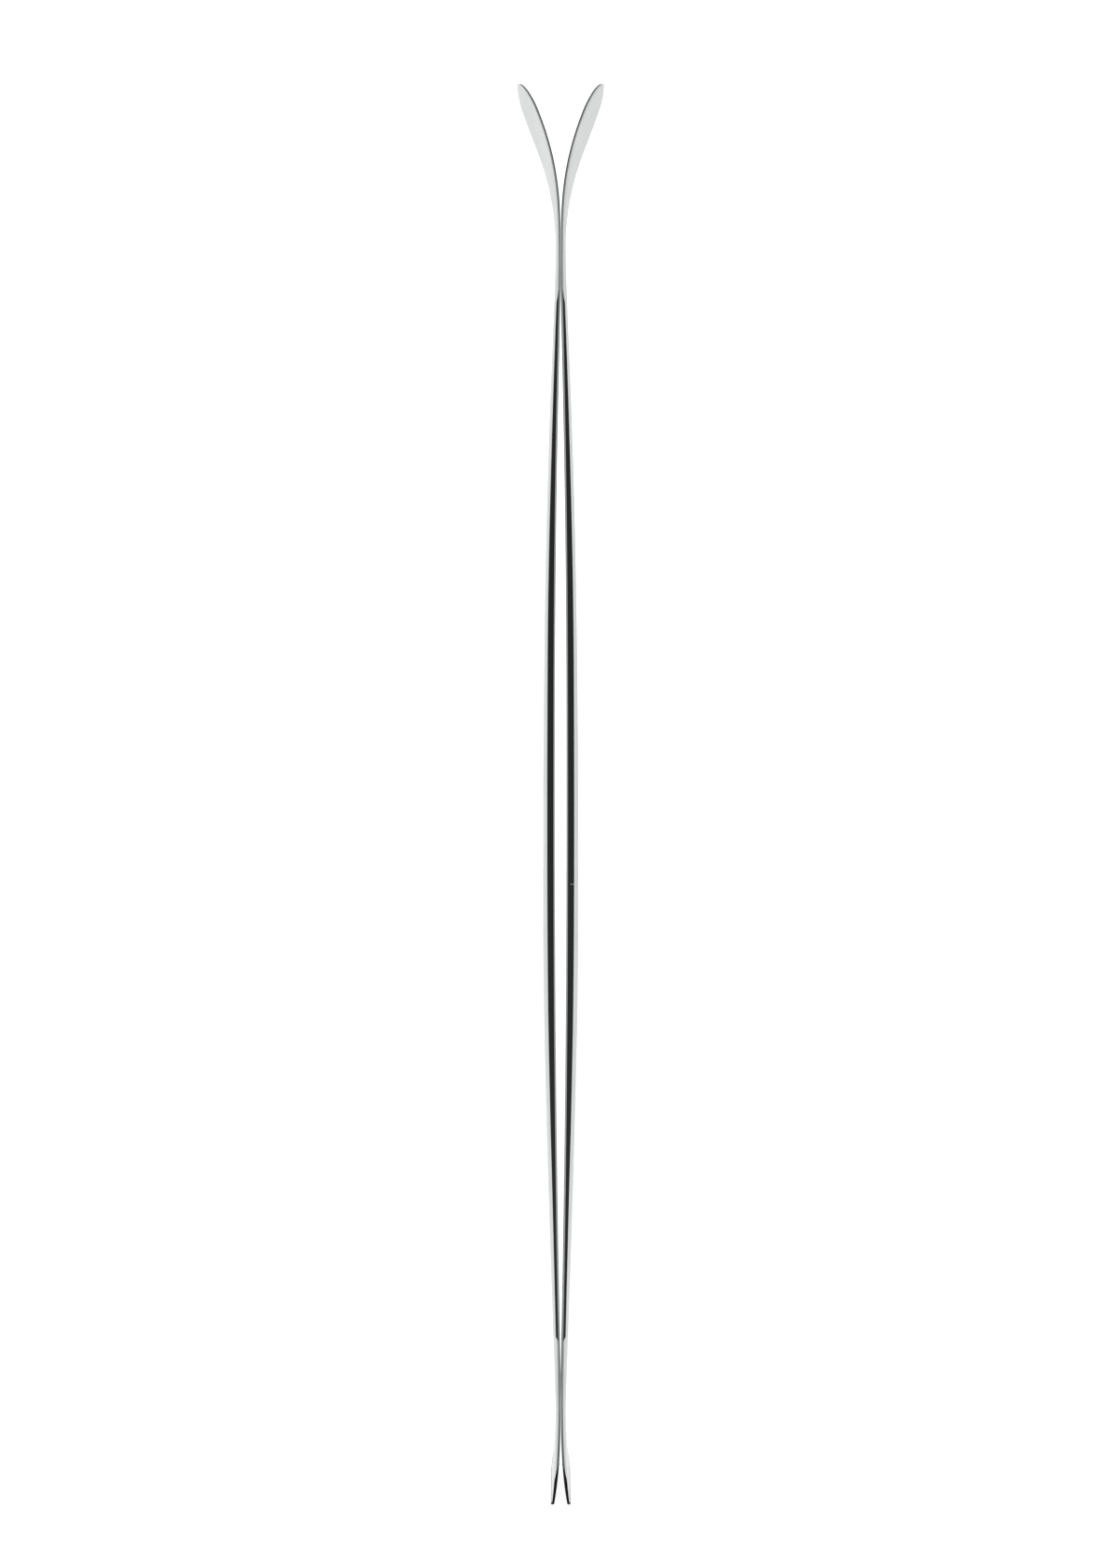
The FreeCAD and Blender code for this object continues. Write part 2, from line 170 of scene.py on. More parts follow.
# %% [markdown]
# ## Where one layer ends and the next begins
#
# The black side wall runs along the middle of the ski only, and ends in a
# slanting point at the front and the back.  Beyond it the cap reaches down to
# a grey filler strip.  At the tail a black protector is let in under a long
# slant.  Each of these borders is a depth that changes along the ski.

# %% Borders between the layers
BASE_THICK, GLASS_THICK, FILLER_THICK = 1.1, 0.5, 1.5
GLASS_TOP = BASE_THICK + GLASS_THICK
FILLER_TOP = GLASS_TOP + FILLER_THICK
CAP_THICK, CAP_SIDE, CAP_LIP = 1.1, 2.4, 2.2
BEVEL_MIN, BEVEL_SLOPE = 1.6, 1.3
WALL_WIDTH, WALL_START_Z, WALL_END_Z = 3.0, 228.0, 1690.0
WALL_START_SLANT, WALL_END_SLANT = 6.0, 18.0
TIP_CAP_Z, BASE_TIP_Z = 1990.0, 1997.0
TAIL_CAP_SLANT = [(5.0, 4.3), (13.0, 4.6), (20.0, 4.75), (35.0, 4.3), (49.0, 2.5), (56.0, 0.0)]
TAIL_CAP_TOP_Z, TAIL_CAP_BASE_Z = TAIL_CAP_SLANT[0][0], TAIL_CAP_SLANT[-1][0]
TAIL_SKIN, FILLER_REACH = 0.15, 20.0


def wall_top(z):
    """Depth of the top of the side wall, with its slanting ends."""
    height = between(WALL_HEIGHT, z)
    start = max(0.0, min(1.0, (z - WALL_START_Z) / WALL_START_SLANT))
    end = max(0.0, min(1.0, (WALL_END_Z - z) / WALL_END_SLANT))
    return GLASS_TOP + height * min(start, end)


def tail_cap_top(z):
    """Depth of the slanting top of the tail protector."""
    return float(np.interp(z, *zip(*TAIL_CAP_SLANT)))


def cap_bottom(z):
    """Depth of the lower edge of the cap."""
    beside_wall = WALL_START_Z + FILLER_REACH <= z <= WALL_END_Z - FILLER_REACH
    filler = GLASS_TOP if beside_wall else FILLER_TOP
    return max(wall_top(z), min(filler, total(z) - TAIL_SKIN), tail_cap_top(z))


def bevel_height(z):
    """Height of the sloping shoulder between the lip and the top of the cap."""
    return min(max(between(THICKNESS, z) - max(wall_top(z), FILLER_TOP) - CAP_LIP, BEVEL_MIN), total(z) / 2)


def reaches(depth, start=TAIL_CAP_SLANT[1][0], end=TAIL_CAP_BASE_Z):
    """Height between start and end where the tail protector's top is at a depth."""
    for _ in range(40):
        middle = (start + end) / 2
        start, end = (middle, end) if tail_cap_top(middle) > depth(middle) else (start, middle)
    return end


base_start = reaches(lambda z: BASE_THICK)
glass_start = reaches(lambda z: GLASS_TOP)
filler_start = reaches(lambda z: FILLER_TOP)
print("layers start above the tail at", [round(v, 1) for v in (base_start, glass_start, filler_start)], "mm")

# %% [markdown]
# ## One helper for every node
#
# Materials and Geometry Nodes trees are both made of nodes with settings and
# links.  One small function adds a node, so each tree below reads as a list
# of what it holds.  A second one turns the usual hex colours into the linear
# numbers that Blender works with.

# %% Helpers for nodes and colours
MM = 0.001


def add(tree, kind, links=None, **settings):
    """Adds a node with its settings, then its values and links by socket name or number."""
    node = tree.nodes.new(kind)
    for name, value in settings.items():
        setattr(node, name, value)
    for name, value in (links or {}).items():
        if isinstance(value, bpy.types.NodeSocket):
            tree.links.new(value, node.inputs[name])
        else:
            node.inputs[name].default_value = value
    return node


def colour(hex_code):
    """Linear RGBA from an sRGB hex code."""
    parts = [int(hex_code[i:i + 2], 16) / 255 for i in (1, 3, 5)]
    linear = [p / 12.92 if p <= 0.04045 else ((p + 0.055) / 1.055) ** 2.4 for p in parts]
    return (*linear, 1.0)


print("middle grey in linear light:", [round(v, 3) for v in colour("#808080")[:3]])

# %% [markdown]
# ## Materials
#
# A ski is nearly all plastic, and each plastic is known by its skin.  The cap
# is white lacquered ABS: satin, with the faint orange peel of sprayed lacquer.
# The side wall is black ABS that a milling cutter has passed along, so its
# fine lines run lengthwise.  The base is grey sintered polyethylene, waxy, with
# the grinding stone's structure, and painted shade darkens it towards its ends
# and where the two bases touch.  Each material is
# built the same way: a slight change of tone, a slight change of roughness and
# a fine bump, all read from Object coordinates so that they stay put on the
# piece.  A tone that changes along the ski is a colour ramp over the height,
# and that ramp is painted shade.


# %% The shader that all the plastics share
def plastic(name, dark, light, roughness, ior, patch_mm, grain_mm, grain_depth_mm, along=1.0,
            coat=0.0, coat_roughness=0.1, specular=0.5, painted_shade=None):
    """A plastic: two close tones in patches, uneven gloss and a fine grain drawn out along Z.

    Painted shade is a list of (height in mm, hex tone) that the plastic is multiplied by along the ski,
    darkening it where shade falls.
    """
    material = bpy.data.materials.new(name)
    material.use_nodes = True
    tree = material.node_tree
    tree.nodes.clear()
    place = add(tree, "ShaderNodeTexCoord").outputs["Object"]
    drawn = add(tree, "ShaderNodeMapping", {"Vector": place, "Scale": (1.0, 1.0, 1.0 / along)})
    patches = add(tree, "ShaderNodeTexNoise", {"Vector": drawn.outputs[0], "Scale": 1 / (patch_mm * MM),
                                               "Detail": 3.0, "Roughness": 0.55})
    tone = add(tree, "ShaderNodeValToRGB", {"Fac": patches.outputs["Fac"]})
    tone.color_ramp.elements[0].position, tone.color_ramp.elements[1].position = 0.3, 0.7
    tone.color_ramp.elements[0].color = colour(dark)
    tone.color_ramp.elements[1].color = colour(light)
    skin = tone.outputs["Color"]
    # Painted shade: the skin is multiplied by a colour ramp over the height up the ski.
    if painted_shade:
        up = add(tree, "ShaderNodeSeparateXYZ", {"Vector": place})
        share = add(tree, "ShaderNodeMath", {0: up.outputs["Z"], 1: SKI_LENGTH * MM}, operation="DIVIDE")
        shade_ramp = add(tree, "ShaderNodeValToRGB", {"Fac": share.outputs[0]})
        stops = shade_ramp.color_ramp.elements
        for _ in painted_shade[2:]:
            stops.new(0.5)
        for stop, (height, hex_tone) in zip(list(stops), painted_shade):
            stop.position, stop.color = height / SKI_LENGTH, colour(hex_tone)
        shaded_skin = add(tree, "ShaderNodeMix", {"Factor": 1.0}, data_type="RGBA", blend_type="MULTIPLY")
        tree.links.new(skin, shaded_skin.inputs["A"])
        tree.links.new(shade_ramp.outputs["Color"], shaded_skin.inputs["B"])
        skin = shaded_skin.outputs["Result"]
    grain = add(tree, "ShaderNodeTexNoise", {"Vector": drawn.outputs[0], "Scale": 1 / (grain_mm * MM),
                                             "Detail": 2.0})
    gloss = add(tree, "ShaderNodeMapRange", {"Value": grain.outputs["Fac"], "From Min": 0.3,
                                             "From Max": 0.7, "To Min": roughness * 0.88,
                                             "To Max": roughness * 1.12})
    bump = add(tree, "ShaderNodeBump", {"Height": grain.outputs["Fac"], "Strength": 0.6,
                                        "Distance": grain_depth_mm * MM})
    shader = add(tree, "ShaderNodeBsdfPrincipled", {
        "Base Color": skin, "Roughness": gloss.outputs[0],
        "Normal": bump.outputs["Normal"], "IOR": ior, "Coat Weight": coat,
        "Coat Roughness": coat_roughness, "Specular IOR Level": specular})
    add(tree, "ShaderNodeOutputMaterial", {"Surface": shader.outputs["BSDF"]})
    return material


# %% The plastics of the ski
# White lacquer over moulded ABS gives a soft, even white with a broad sheen.
cap_lacquer = plastic("white_lacquered_ABS", "#c9cbcb", "#d0d2d1", 0.34, 1.52, 60.0, 1.4, 0.012,
                      coat=0.25, coat_roughness=0.18)
# Milled ABS is matt black, with lines along the ski from the cutter.
wall_abs = plastic("black_milled_ABS_side_wall", "#0a0b0b", "#101211", 0.36, 1.53, 25.0, 0.6, 0.02,
                   along=40.0, specular=0.2)
# Sintered polyethylene looks waxy, and is ground lengthwise.  Painted shade is multiplied into it:
# full tone along the camber gap, darker where the two bases touch, and darkest towards both ends.
BASE_PAINTED_SHADE = [(0, "#565656"), (80, "#565656"), (140, "#b0b0b0"), (200, "#b0b0b0"), (280, "#ffffff"),
             (1640, "#ffffff"), (1710, "#b0b0b0"), (1760, "#a0a0a0"), (1810, "#505050"),
             (2000, "#565656")]
base_pe = plastic("sintered_polyethylene_base", "#8e9190", "#989b9a", 0.38, 1.51, 40.0, 0.5, 0.03,
                  along=60.0, painted_shade=BASE_PAINTED_SHADE)
# Glass cloth in epoxy is a pale, slightly green sheet, with the same painted shade as the base.
glass_epoxy = plastic("glass_cloth_in_epoxy", "#8b8e88", "#969992", 0.3, 1.55, 8.0, 0.5, 0.01,
                      painted_shade=BASE_PAINTED_SHADE)
# The filler strip in the shovel and the tail is plain grey ABS.  Painted shade darkens it at the tail and,
# less, at the tip.
FILLER_PAINTED_SHADE = [(0, "#8c8c8c"), (90, "#8c8c8c"), (190, "#e0e0e0"), (1720, "#e0e0e0"), (1800, "#b4b4b4"),
               (2000, "#b4b4b4")]
filler_abs = plastic("grey_ABS_filler", "#aeb1b0", "#b9bcbb", 0.45, 1.53, 20.0, 0.6, 0.02, along=20.0,
                     painted_shade=FILLER_PAINTED_SHADE)
# Protectors are moulded in tough nylon with a fine spark eroded grain.
protector_nylon = plastic("black_moulded_nylon", "#060606", "#0c0c0c", 0.5, 1.53, 12.0, 0.7, 0.05,
                          specular=0.06)
tip_nylon = plastic("pale_moulded_nylon", "#c6c9c8", "#cfd1d0", 0.42, 1.53, 14.0, 0.7, 0.03)
# The screw plate under the binding is brown phenolic sheet.
phenolic = plastic("brown_phenolic_sheet", "#5f3a22", "#7a4b2d", 0.4, 1.57, 10.0, 0.8, 0.02)
# The balance mark is a pale pad printed line.
print_ink = plastic("pale_printing_ink", "#7d807f", "#8b8e8d", 0.6, 1.5, 4.0, 0.5, 0.005)
print("plastics:", [m.name for m in bpy.data.materials if m.use_nodes][-8:])


# %% [markdown]
# ### Laminated wood for the core
#
# The core is glued from upright staves about 10 mm wide.  Nobody sees it in a
# finished ski, but it is drawn all the same: long
# grain along Z, and a different tone for each stave.


# %% Wood core
def stave_wood(name, stave_mm=10.0, ring_mm=1.6):
    """Light wood with grain along Z, in glued staves that each have their own tone."""
    material = bpy.data.materials.new(name)
    material.use_nodes = True
    tree = material.node_tree
    tree.nodes.clear()
    place = add(tree, "ShaderNodeTexCoord").outputs["Object"]
    split = add(tree, "ShaderNodeSeparateXYZ", {"Vector": place})
    count = add(tree, "ShaderNodeMath", {0: split.outputs["Y"], 1: 1 / (stave_mm * MM)},
                operation="MULTIPLY")
    stave = add(tree, "ShaderNodeMath", {0: count.outputs[0]}, operation="FLOOR")
    own = add(tree, "ShaderNodeTexWhiteNoise", {"W": stave.outputs[0]}, noise_dimensions="1D")
    drawn = add(tree, "ShaderNodeMapping", {"Vector": place, "Scale": (1.0, 1.0, 0.03)})
    rings = add(tree, "ShaderNodeTexNoise", {"Vector": drawn.outputs[0], "Scale": 1 / (ring_mm * MM),
                                             "Detail": 4.0})
    both = add(tree, "ShaderNodeMath", {0: rings.outputs["Fac"], 1: own.outputs["Value"]},
               operation="ADD")
    half = add(tree, "ShaderNodeMath", {0: both.outputs[0], 1: 0.5}, operation="MULTIPLY")
    tone = add(tree, "ShaderNodeValToRGB", {"Fac": half.outputs[0]})
    tone.color_ramp.elements[0].color = colour("#b08a5a")
    tone.color_ramp.elements[1].color = colour("#d8bd92")
    bump = add(tree, "ShaderNodeBump", {"Height": rings.outputs["Fac"], "Strength": 0.3,
                                        "Distance": 0.1 * MM})
    shader = add(tree, "ShaderNodeBsdfPrincipled", {
        "Base Color": tone.outputs["Color"], "Roughness": 0.6, "Normal": bump.outputs["Normal"]})
    add(tree, "ShaderNodeOutputMaterial", {"Surface": shader.outputs["BSDF"]})
    return material


core_wood = stave_wood("glued_stave_wood")
print("core staves are 10 mm wide")

# %% [markdown]
# ## One Geometry Nodes tree that sweeps a layer along the ski
#
# Every layer is a cross section carried along the camber line, while its
# width and thickness change on the way.  Modelling that by hand would mean
# lofting hundreds of sections for each layer.  Here the sweep is a Geometry
# Nodes tree.  It takes two simple inputs:
#
# * the *stations*, a line of points up the ski that carries the sizes at each
#   height (half width, lower and upper depth, bevel, skin and groove), and
# * the *section*, a closed outline whose points say what they follow: which
#   edge, which depth, and how many millimetres from it.
#
# Curve to Mesh joins the two, and Set Position puts each point where its
# station and its section tell it to be.

# %% The sweep tree
SIZES = ("spine", "up", "stretch", "half_width", "low", "high", "bevel", "skin", "inner", "groove")
RULES = ("across", "upward", "inward")


def sweep_tree():
    """Stations + section + finish -> one closed layer of the ski."""
    tree = bpy.data.node_groups.new("sweep a ski layer", "GeometryNodeTree")
    for name, kind in (("Stations", "Geometry"), ("Section", "Object"), ("Narrow below", "Float"),
                       ("Finish", "Material")):
        tree.interface.new_socket(name, in_out="INPUT", socket_type="NodeSocket" + kind)
    tree.interface.new_socket("Layer", in_out="OUTPUT", socket_type="NodeSocketGeometry")
    given = add(tree, "NodeGroupInput").outputs
    size = {name: add(tree, "GeometryNodeInputNamedAttribute", {"Name": name},
                      data_type="FLOAT").outputs["Attribute"] for name in SIZES}
    rule = {}
    for name in RULES:
        vector = add(tree, "GeometryNodeInputNamedAttribute", {"Name": name}, data_type="FLOAT_VECTOR")
        rule[name] = add(tree, "ShaderNodeSeparateXYZ", {"Vector": vector.outputs["Attribute"]}).outputs

    line = add(tree, "GeometryNodeMeshToCurve", {"Mesh": given["Stations"]})
    section = add(tree, "GeometryNodeObjectInfo", {"Object": given["Section"]})
    outline = add(tree, "GeometryNodeMeshToCurve", {"Mesh": section.outputs["Geometry"]})
    swept = add(tree, "GeometryNodeCurveToMesh", {
        "Curve": line.outputs["Curve"], "Profile Curve": outline.outputs["Curve"], "Fill Caps": True})

    room = add(tree, "ShaderNodeMath", {0: size["high"], 1: size["low"]}, operation="SUBTRACT")
    depth = add(tree, "ShaderNodeMath", {0: rule["upward"]["X"], 1: room.outputs[0], 2: size["low"]},
                operation="MULTIPLY_ADD")
    depth = add(tree, "ShaderNodeMath", {0: depth.outputs[0], 1: rule["upward"]["Y"]}, operation="ADD")
    for weight, name in ((rule["upward"]["Z"], "bevel"), (rule["inward"]["X"], "skin"),
                         (rule["inward"]["Y"], "inner"), (rule["inward"]["Z"], "groove")):
        depth = add(tree, "ShaderNodeMath", {0: weight, 1: size[name], 2: depth.outputs[0]},
                    operation="MULTIPLY_ADD")
    x = add(tree, "ShaderNodeMath", {0: depth.outputs[0], 1: size["stretch"], 2: size["spine"]},
            operation="MULTIPLY_ADD")

    share = add(tree, "ShaderNodeMath", {0: size["half_width"], 1: given["Narrow below"]},
                operation="DIVIDE", use_clamp=True)
    offset = add(tree, "ShaderNodeMath", {0: rule["across"]["Z"], 1: size["bevel"],
                                          2: rule["across"]["Y"]}, operation="MULTIPLY_ADD")
    offset = add(tree, "ShaderNodeMath", {0: offset.outputs[0], 1: share.outputs[0]},
                 operation="MULTIPLY")
    y = add(tree, "ShaderNodeMath", {0: rule["across"]["X"], 1: size["half_width"],
                                     2: offset.outputs[0]}, operation="MULTIPLY_ADD")

    place = add(tree, "ShaderNodeCombineXYZ", {"X": x.outputs[0], "Y": y.outputs[0], "Z": size["up"]})
    moved = add(tree, "GeometryNodeSetPosition", {"Geometry": swept.outputs["Mesh"],
                                                  "Position": place.outputs["Vector"]})
    real = add(tree, "GeometryNodeRealizeInstances", {"Geometry": moved.outputs["Geometry"]})
    done = add(tree, "GeometryNodeSetMaterial", {"Geometry": real.outputs["Geometry"],
                                                 "Material": given["Finish"]})
    add(tree, "NodeGroupOutput", {"Layer": done.outputs["Geometry"]})
    return tree


sweep = sweep_tree()
print("the sweep tree has", len(sweep.nodes), "nodes")

# %% [markdown]
# ## Stations
#
# The stations are heights up the ski.  They stand about 12 mm apart on the
# long plain middle and much closer where something changes quickly: the
# rounded tip, the corners of the tail and the pointed ends of the side wall.

# %% Stations along the ski
GROOVE_START_Z, GROOVE_END_Z, GROOVE_FADE, GROOVE_DEPTH = 150.0, 1740.0, 20.0, 0.6
THINNEST = 0.02


def heights(start, end):
    """Heights between start and end, close together where the shape changes quickly."""
    tip = [TIP_WIDEST_Z + (SKI_LENGTH - TIP_WIDEST_Z) * math.sin(math.pi / 2 * i / 40) for i in range(41)]
    tail = [TAIL_CORNER * (1 - math.cos(math.pi / 2 * i / 10)) for i in range(11)]
    runs = [*tail, *range(4, 62), *range(66, 220, 7), *range(220, 240), *range(246, 1660, 12),
            *[1662 + 1.5 * i for i in range(22)], *range(1700, 1930, 5), *tip]
    inside = [z for z in runs if start + 0.2 < z < end - 0.2]
    return [start, *inside, end]


def stations(name, start, end, low, high, shoulder=None):
    """A line of points that carries the sizes of one layer at each height, in metres."""
    mesh = bpy.data.meshes.new(name)
    levels = heights(start, end)
    mesh.from_pydata([(camber_line(z) * MM, 0.0, z * MM) for z in levels],
                     [(i, i + 1) for i in range(len(levels) - 1)], [])
    rows = {key: [] for key in SIZES}
    for z in levels:
        bottom, top = low(z), high(z)
        top = max(top, bottom + THINNEST)
        bevel = min(shoulder(z), (top - bottom) * 0.6) if shoulder else 0.0
        skin = min(CAP_THICK, (top - bottom) * 0.45)
        rows["spine"].append(camber_line(z) * MM)
        rows["up"].append(z * MM)
        rows["stretch"].append(stretch(z))
        rows["half_width"].append(max(half_width(z), 0.3) * MM)
        rows["low"].append(bottom * MM)
        rows["high"].append(top * MM)
        rows["bevel"].append(bevel * MM)
        rows["skin"].append(skin * MM)
        rows["inner"].append(min(bevel + skin, (top - bottom) * 0.9) * MM)
        fade = min(1.0, max(0.0, min(z - GROOVE_START_Z, GROOVE_END_Z - z) / GROOVE_FADE))
        rows["groove"].append(GROOVE_DEPTH * fade * MM)
    for key, values in rows.items():
        mesh.attributes.new(key, "FLOAT", "POINT").data.foreach_set("value", values)
    thing = bpy.data.objects.new(name, mesh)
    scene.collection.objects.link(thing)
    return thing


print("a layer over the whole length has", len(heights(0.0, SKI_LENGTH)), "stations")

# %% [markdown]
# ## Sections
#
# A section is drawn once, looking along the ski.  Each point is written as
# what it follows, then how far it stands from that:
#
# * across: edge (-1 left, 0 middle, 1 right), millimetres, share of the bevel
# * upward: level (0 bottom of the layer, 1 top), millimetres, share of the bevel
# * inward: shares of the skin, of the inner corner and of the groove
#
# Sharp plastic corners are never quite sharp, so the corners are rounded with
# a few points.  It is the rounding that catches the light along the edges.

# %% Section outlines
ROUND_STEPS = 3


def point(edge=0.0, off=0.0, off_bevel=0.0, level=0.0, rise=0.0, rise_bevel=0.0, skin=0.0,
          inner=0.0, groove=0.0):
    """One point of a section, as three rules in a row."""
    return np.array([edge, off, off_bevel, level, rise, rise_bevel, skin, inner, groove])


def rounded(before, corner, after):
    """A corner turned into a short smooth bend between two points beside it."""
    bend = []
    for i in range(ROUND_STEPS + 1):
        t = i / ROUND_STEPS
        bend.append((1 - t) ** 2 * before + 2 * t * (1 - t) * corner + t**2 * after)
    return bend


def mirrored(half):
    """The other half of a section, with left and right exchanged."""
    flip = np.array([-1.0, -1.0, -1.0, 1.0, 1.0, 1.0, 1.0, 1.0, 1.0])
    return [p * flip for p in reversed(half)]


def section(name, points):
    """A closed loop of points that carries its rules as attributes."""
    mesh = bpy.data.meshes.new(name)
    count = len(points)
    flat = [(math.cos(2 * math.pi * i / count), math.sin(2 * math.pi * i / count), 0.0)
            for i in range(count)]
    mesh.from_pydata(flat, [(i, (i + 1) % count) for i in range(count)], [])
    scale = np.array([1.0, MM, 1.0])
    for key, first in zip(RULES, (0, 3, 6)):
        vectors = np.array([p[first:first + 3] for p in points])
        if key != "inward":
            vectors = vectors * scale
        mesh.attributes.new(key, "FLOAT_VECTOR", "POINT").data.foreach_set("vector", vectors.ravel())
    thing = bpy.data.objects.new(name, mesh)
    scene.collection.objects.link(thing)
    return thing


LIP_ROUND, SHOULDER_ROUND, SOLE_ROUND, EDGE_ROUND = 0.5, 1.6, 0.35, 0.18
slope_run = BEVEL_SLOPE / math.hypot(BEVEL_SLOPE, 1.0)
slope_rise = 1.0 / math.hypot(BEVEL_SLOPE, 1.0)


def cap_shoulder():
    """Right half of the cap's outside: small bottom edge, lip, bevel and top."""
    lip = rounded(point(1, 0, 0, 1, -LIP_ROUND, -1), point(1, 0, 0, 1, 0, -1),
                  point(1, -LIP_ROUND * slope_run, 0, 1, LIP_ROUND * slope_rise, -1))
    top = rounded(point(1, SHOULDER_ROUND * slope_run, -BEVEL_SLOPE, 1, -SHOULDER_ROUND * slope_rise, 0),
                  point(1, 0, -BEVEL_SLOPE, 1, 0, 0), point(1, -SHOULDER_ROUND, -BEVEL_SLOPE, 1, 0, 0))
    return [*lip, *top]


cap_half = [point(1, -CAP_SIDE, 0, 0), point(1, -EDGE_ROUND, 0, 0), point(1, 0, 0, 0, EDGE_ROUND),
            *cap_shoulder(), point(0.4, 0, 0, 1), point(0, 0, 0, 1)]
cap_inside = [point(1, -CAP_SIDE, -BEVEL_SLOPE, 1, 0, 0, -1), point(1, -CAP_SIDE, 0, 1, 0, 0, 0, -1)]
cap_section = section("cap section", [*cap_inside, *cap_half, *mirrored(cap_half[:-1]),
                                      *mirrored(cap_inside)])

sole_half = [point(0, 0, 0, 0, 0, 0, 0, 0, 1), point(0, 0.9, 0, 0, 0, 0, 0, 0, 0.75),
             point(0, 1.35, 0, 0, 0, 0, 0, 0, 0.3), point(0, 1.6, 0, 0),
             *rounded(point(1, -SOLE_ROUND, 0, 0), point(1, 0, 0, 0), point(1, 0, 0, 0, SOLE_ROUND)),
             point(1, 0, 0, 1)]
sole_section = section("sole section", [*sole_half, *mirrored(sole_half[1:])])

sheet_section = section("sheet section", [point(1, 0, 0, 0), point(1, 0, 0, 1), point(-1, 0, 0, 1),
                                          point(-1, 0, 0, 0)])

CROWN = 0.35
wall_half = [point(1, -WALL_WIDTH, 0, 0), point(1, -EDGE_ROUND, 0, 0), point(1, 0, 0, 0, EDGE_ROUND),
             point(1, CROWN * 0.75, 0, 0.25), point(1, CROWN, 0, 0.5), point(1, CROWN * 0.75, 0, 0.75),
             point(1, 0, 0, 1, -EDGE_ROUND), point(1, -EDGE_ROUND, 0, 1), point(1, -WALL_WIDTH, 0, 1)]
plain_wall_section = section("plain wall section", wall_half)
marked_wall_section = section("marked wall section", mirrored(wall_half))

PROUD = 0.12
end_half = [point(1, -SOLE_ROUND, 0, 0), point(1, PROUD, 0, 0, SOLE_ROUND),
            *cap_shoulder(), point(0, 0, 0, 1)]
end_section = section("end section", [*end_half, *mirrored(end_half[:-1])])
block_half = [point(1, -SOLE_ROUND, 0, 0), point(1, PROUD, 0, 0, SOLE_ROUND),
              point(1, PROUD, 0, 1, -SOLE_ROUND), point(1, -SOLE_ROUND, 0, 1)]
block_section = section("block section", [*block_half, *mirrored(block_half)])

# %% [markdown]
# ## Sweeping the layers
#
# Each layer is now one line: where it starts and ends, what it lies between,
# its section and its plastic.  The modifier's result is turned into a plain
# mesh, and its normals are made to point outwards.  The left ski is the same
# mesh turned half a turn about Z, because the two skis of a pair are alike.

# %% From a swept layer to a plain piece on each ski
NARROW_MM = 12.0


def plain_mesh(thing, name):
    """The evaluated object as a plain mesh, closed and with its faces outwards."""
    bpy.context.view_layer.update()
    graph = bpy.context.evaluated_depsgraph_get()
    mesh = bpy.data.meshes.new_from_object(thing.evaluated_get(graph))
    work = bmesh.new()
    work.from_mesh(mesh)
    bmesh.ops.remove_doubles(work, verts=work.verts, dist=1e-7)
    bmesh.ops.dissolve_degenerate(work, edges=work.edges, dist=1e-8)
    bmesh.ops.recalc_face_normals(work, faces=work.faces)
    work.to_mesh(mesh)
    work.free()
    for attribute in [a.name for a in mesh.attributes if a.name in SIZES + RULES]:
        mesh.attributes.remove(mesh.attributes[attribute])
    mesh.shade_smooth()
    mesh.set_sharp_from_angle(angle=math.radians(38))
    mesh.name = name
    return mesh


def set_input(modifier, name, value):
    """Sets a Geometry Nodes input by the identifier of its socket."""
    for item in modifier.node_group.interface.items_tree:
        if item.name == name and item.in_out == "INPUT":
            modifier[item.identifier] = value


def swept_layer(node, rows, outline, finish):
    """Sweeps one layer and returns its plain mesh for the right ski."""
    modifier = rows.modifiers.new("sweep", "NODES")
    modifier.node_group = sweep
    set_input(modifier, "Section", outline)
    set_input(modifier, "Narrow below", NARROW_MM * MM)
    set_input(modifier, "Finish", finish)
    mesh = plain_mesh(rows, "right " + node)
    bpy.data.objects.remove(rows)
    return mesh


def on_both_skis(node, mesh):
    """Puts a piece on the right ski and the same piece, turned round, on the left ski."""
    for side in ("right", "left"):
        data = mesh if side == "right" else mesh.copy()
        if side == "left":
            data.transform(Matrix.Rotation(math.pi, 4, "Z"))
        thing = bpy.data.objects.new(side + "_swept_" + node, data)
        scene.collection.objects.link(thing)
        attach(thing, side + "_ski")
        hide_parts(side + "_" + node)


# %% Sweep every visible layer
tail_z, tip_z, base_z = TAIL_CAP_TOP_Z, TIP_CAP_Z, BASE_TIP_Z
wall_ends = (WALL_START_Z + 0.3, WALL_END_Z - 0.3)
front_fill = WALL_END_Z - WALL_END_SLANT * FILLER_THICK / WALL_HEIGHT[-1][1]
rear_fill = WALL_START_Z + WALL_START_SLANT * FILLER_THICK / WALL_HEIGHT[0][1]


def filler_bottom(z):
    """The filler strip starts on the glass, or on the slanting end of the side wall."""
    return max(GLASS_TOP, wall_top(z), tail_cap_top(z))


TOUCH, TOUCH_FADE = 0.17, 0.6


def sole_bottom(z):
    """The running face, pressed out to the other ski where the two bases touch."""
    apart = (camber_line(z) - HALF_GAP) / TOUCH_FADE
    return max(-TOUCH * max(1.0 - apart, 0.0), tail_cap_top(z))


